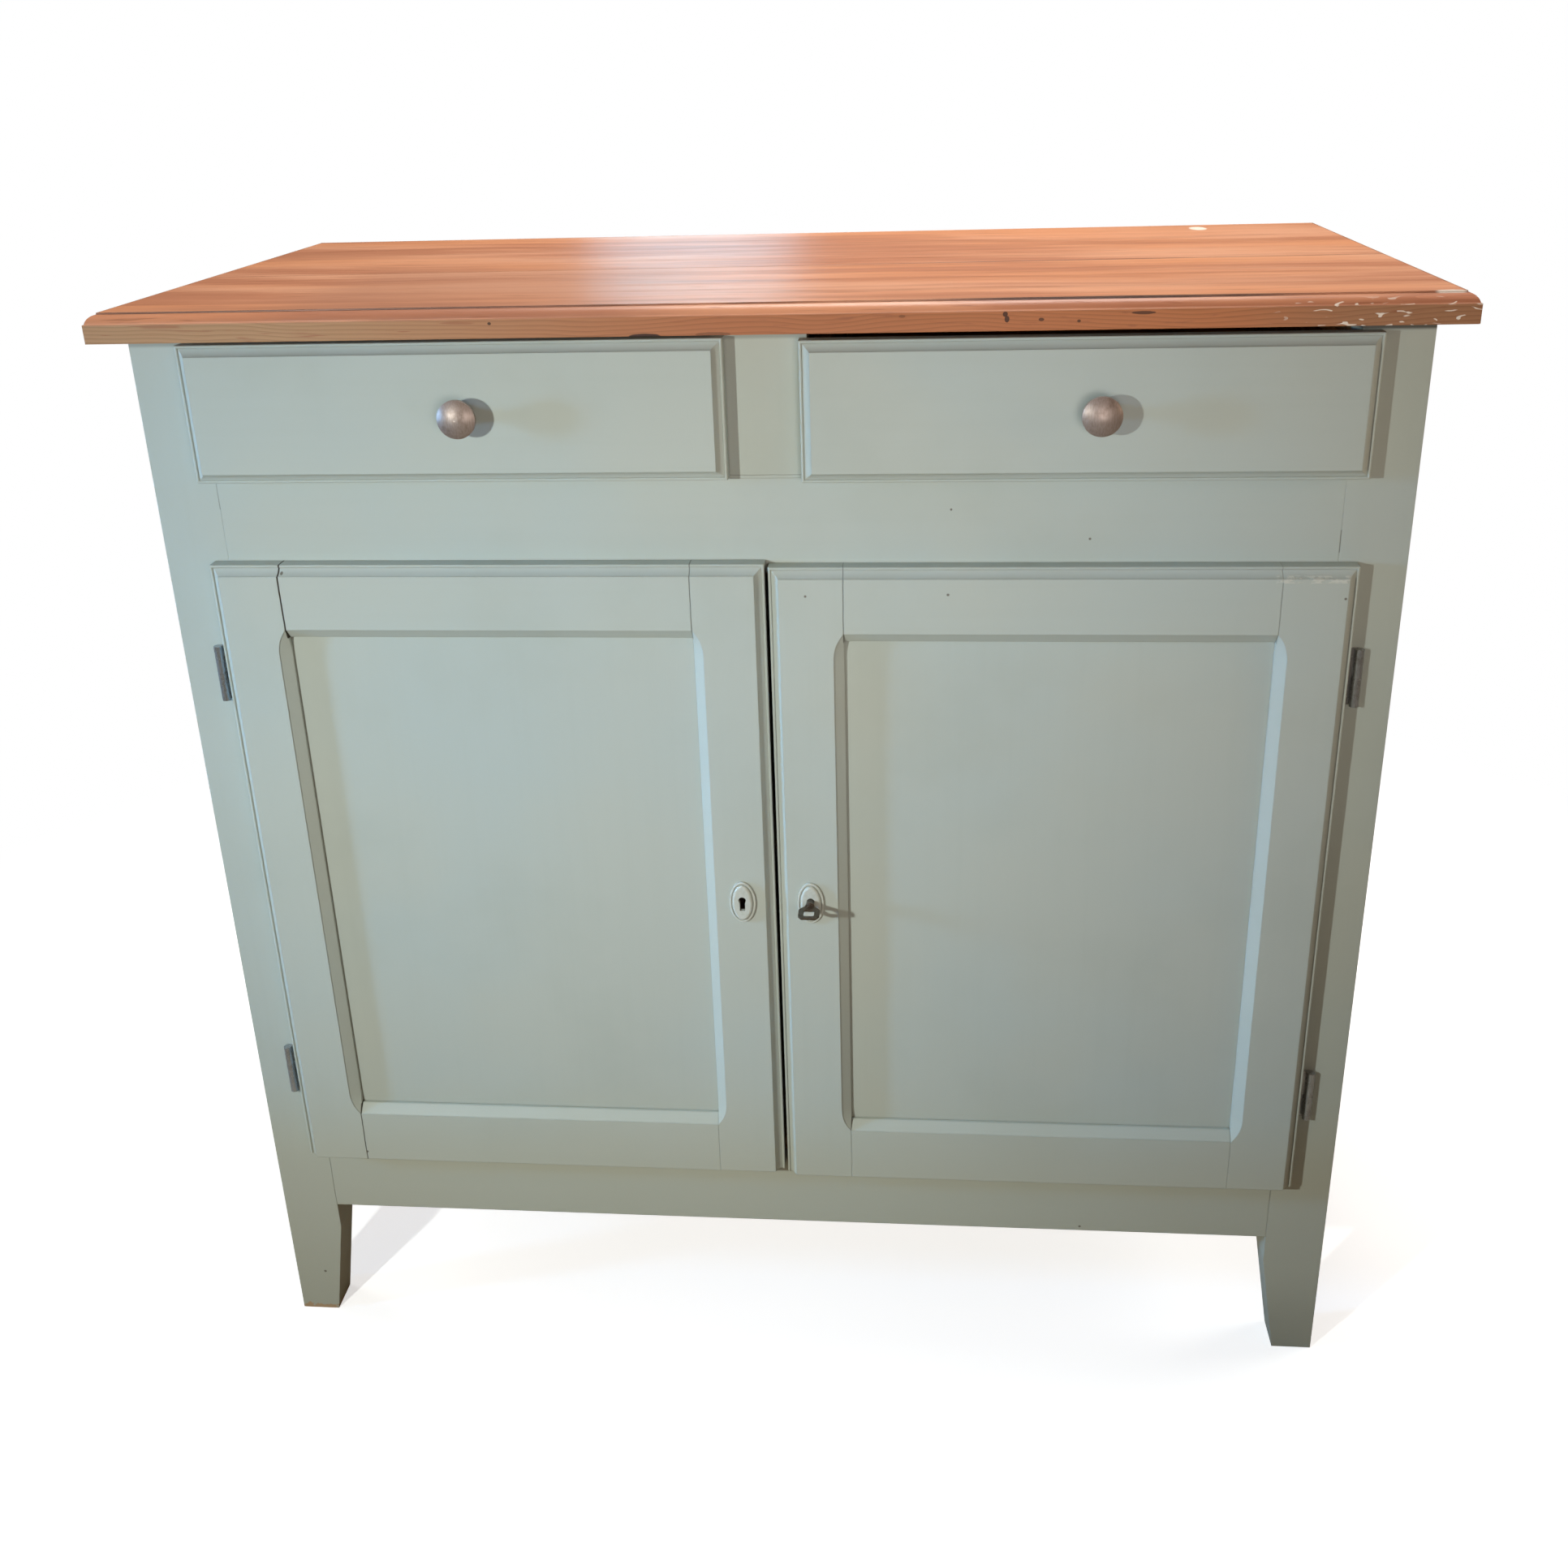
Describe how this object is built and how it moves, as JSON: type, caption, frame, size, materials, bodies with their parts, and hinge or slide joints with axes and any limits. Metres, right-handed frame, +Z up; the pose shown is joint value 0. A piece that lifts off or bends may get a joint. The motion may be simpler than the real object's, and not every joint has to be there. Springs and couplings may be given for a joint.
{
  "type": "buffet cabinet",
  "caption": "Painted sage-green wooden buffet cabinet with lipped drawers over panelled doors, tapered feet and a waxed plank top.",
  "frame": {"origin": "on the floor under the middle of the overall box", "axes": "+Z up, the front looks along -Y, +X is to the right as seen from the front"},
  "size_m": [1.15, 0.577, 1.1],
  "materials": {
    "sage_paint": "pale sage green paint, satin, over wood",
    "waxed_top": "warm reddish waxed planks",
    "bare_wood": "bare planed softwood",
    "painted_plate": "painted over in the body colour",
    "satin_nickel": "satin nickel",
    "hinge_steel": "grey steel, slightly tarnished",
    "screw_steel": "plain steel screws",
    "dark_key": "dark browned steel"
  },
  "bodies": {
    "carcass": {"front_post_left": "sage_paint", "front_post_right": "sage_paint", "rear_post_left": "sage_paint", "rear_post_right": "sage_paint", "mid_rail": "sage_paint", "apron": "sage_paint", "drawer_muntin": "sage_paint", "back_top_rail": "bare_wood", "back_bottom_rail": "bare_wood", "side_top_rail_left": "sage_paint", "side_top_rail_right": "sage_paint", "side_bottom_rail_left": "sage_paint", "side_bottom_rail_right": "sage_paint", "side_panel_left": "sage_paint", "side_panel_right": "sage_paint", "back_boards": "bare_wood", "cupboard_floor": "bare_wood", "shelf": "bare_wood", "shelf_cleats": "bare_wood", "top_board_front": "waxed_top", "top_board_back": "waxed_top", "top_cleats": "bare_wood", "drawer_runners": "bare_wood", "frame_hinge_leaves": "hinge_steel", "hinge_pins": "hinge_steel", "carcass_screws": "screw_steel"},
    "left_door": {"left_door_hinge_stile": "sage_paint", "left_door_meeting_stile": "sage_paint", "left_door_top_rail": "sage_paint", "left_door_bottom_rail": "sage_paint", "left_door_panel": "sage_paint", "left_door_escutcheon": "painted_plate", "left_door_hinge_leaves": "hinge_steel", "left_door_screws": "screw_steel", "left_door_bolt_guide": "hinge_steel", "lock_keeper": "hinge_steel"},
    "sliding_bolt": {"left_door_bolt": "hinge_steel"},
    "right_door": {"right_door_hinge_stile": "sage_paint", "right_door_meeting_stile": "sage_paint", "right_door_top_rail": "sage_paint", "right_door_bottom_rail": "sage_paint", "right_door_panel": "sage_paint", "right_door_escutcheon": "painted_plate", "right_door_hinge_leaves": "hinge_steel", "right_door_screws": "screw_steel", "lock_case": "hinge_steel"},
    "lock_bolt_body": {"lock_bolt": "hinge_steel"},
    "key_body": {"key": "dark_key"},
    "left_drawer": {"left_drawer_front": "sage_paint", "left_drawer_sides": "bare_wood", "left_drawer_back": "bare_wood", "left_drawer_bottom": "bare_wood", "left_drawer_knob": "satin_nickel", "left_drawer_knob_screw": "screw_steel"},
    "right_drawer": {"right_drawer_front": "sage_paint", "right_drawer_sides": "bare_wood", "right_drawer_back": "bare_wood", "right_drawer_bottom": "bare_wood", "right_drawer_knob": "satin_nickel", "right_drawer_knob_screw": "screw_steel"}
  },
  "joints": [
    {"name": "left_door_swing", "type": "hinge", "parent": "carcass", "child": "left_door", "pos_m": [-0.5145, -0.2359, 0.545], "axis": [0, 0, -1], "range_deg": [0, 140]},
    {"name": "right_door_swing", "type": "hinge", "parent": "carcass", "child": "right_door", "pos_m": [0.5175, -0.2359, 0.545], "axis": [0, 0, 1], "range_deg": [0, 140]},
    {"name": "left_drawer_slide", "type": "slide", "parent": "carcass", "child": "left_drawer", "axis": [0, -1, 0], "range_m": [0, 0.32]},
    {"name": "right_drawer_slide", "type": "slide", "parent": "carcass", "child": "right_drawer", "axis": [0, -1, 0], "range_m": [0, 0.32]},
    {"name": "key_turn", "type": "hinge", "parent": "right_door", "child": "key_body", "pos_m": [0.0332, -0.2525, 0.544], "axis": [0, -1, 0], "range_deg": [0, 180]},
    {"name": "lock_bolt_slide", "type": "slide", "parent": "right_door", "child": "lock_bolt_body", "axis": [-1, 0, 0], "range_m": [0, 0.014]},
    {"name": "sliding_bolt_slide", "type": "slide", "parent": "left_door", "child": "sliding_bolt", "axis": [0, 0, 1], "range_m": [0, 0.012]}
  ],
  "couplings": [
    {"joint": "lock_bolt_slide", "follows": "key_turn", "m_per_rad": 0.00445}
  ]
}
